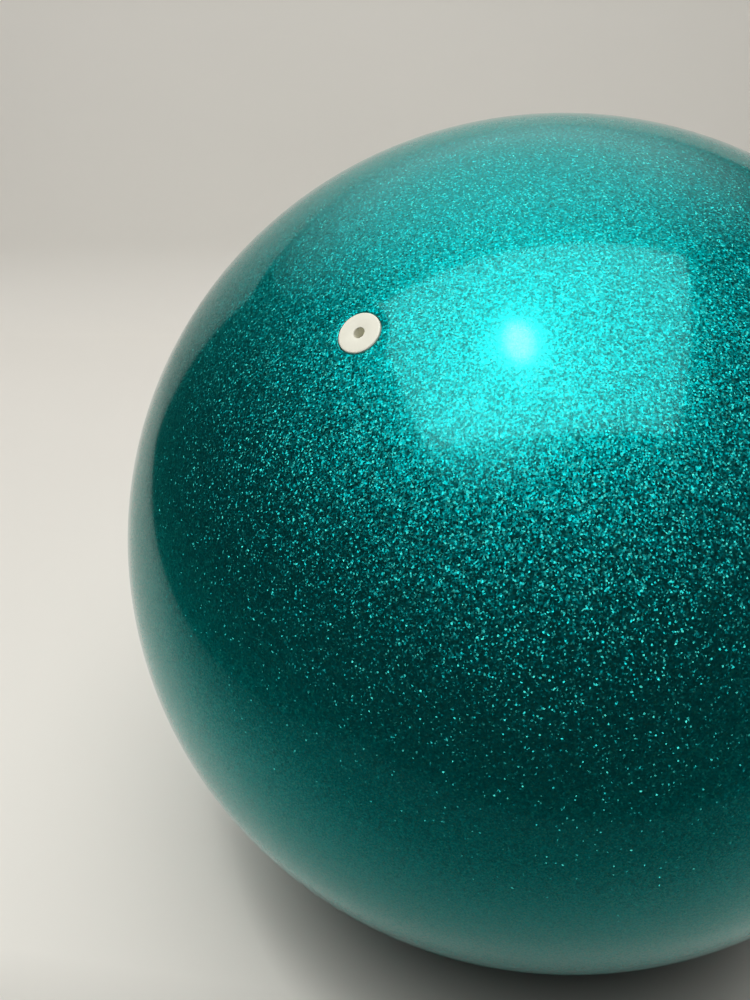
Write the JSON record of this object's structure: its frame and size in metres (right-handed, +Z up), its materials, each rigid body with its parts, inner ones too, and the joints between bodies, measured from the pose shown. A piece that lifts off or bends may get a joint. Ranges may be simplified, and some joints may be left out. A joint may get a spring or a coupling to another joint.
{
  "type": "rhythmic gymnastics ball",
  "caption": "Inflated rubber ball with a glitter layer under a clear glossy skin and a push-in valve plug that pulls out of its bonded housing.",
  "frame": {"origin": "the middle of the flattened patch that the ball rests on", "axes": "+Z up, square to the resting patch; -Y is the side that the valve faces, 48 degrees above the horizon"},
  "size_m": [0.185, 0.185, 0.1845],
  "materials": {
    "clear_skin": "clear, smooth and glossy",
    "glitter": "teal metallic flakes of about 0.35 mm in a dark teal binder",
    "carcass_rubber": "dark teal, matt",
    "housing_rubber": "dark, matt, moulded",
    "plug_rubber": "off-white, satin, moulded"
  },
  "bodies": {
    "ball": {"clear_skin": "clear_skin", "glitter_layer": "glitter", "rubber_carcass": "carcass_rubber", "valve_housing": "housing_rubber"},
    "plug": {"valve_plug": "plug_rubber"}
  },
  "joints": [
    {"name": "plug_pull", "type": "slide", "parent": "ball", "child": "plug", "axis": [0, -0.6691, 0.7431], "range_m": [0, 0.012]}
  ]
}
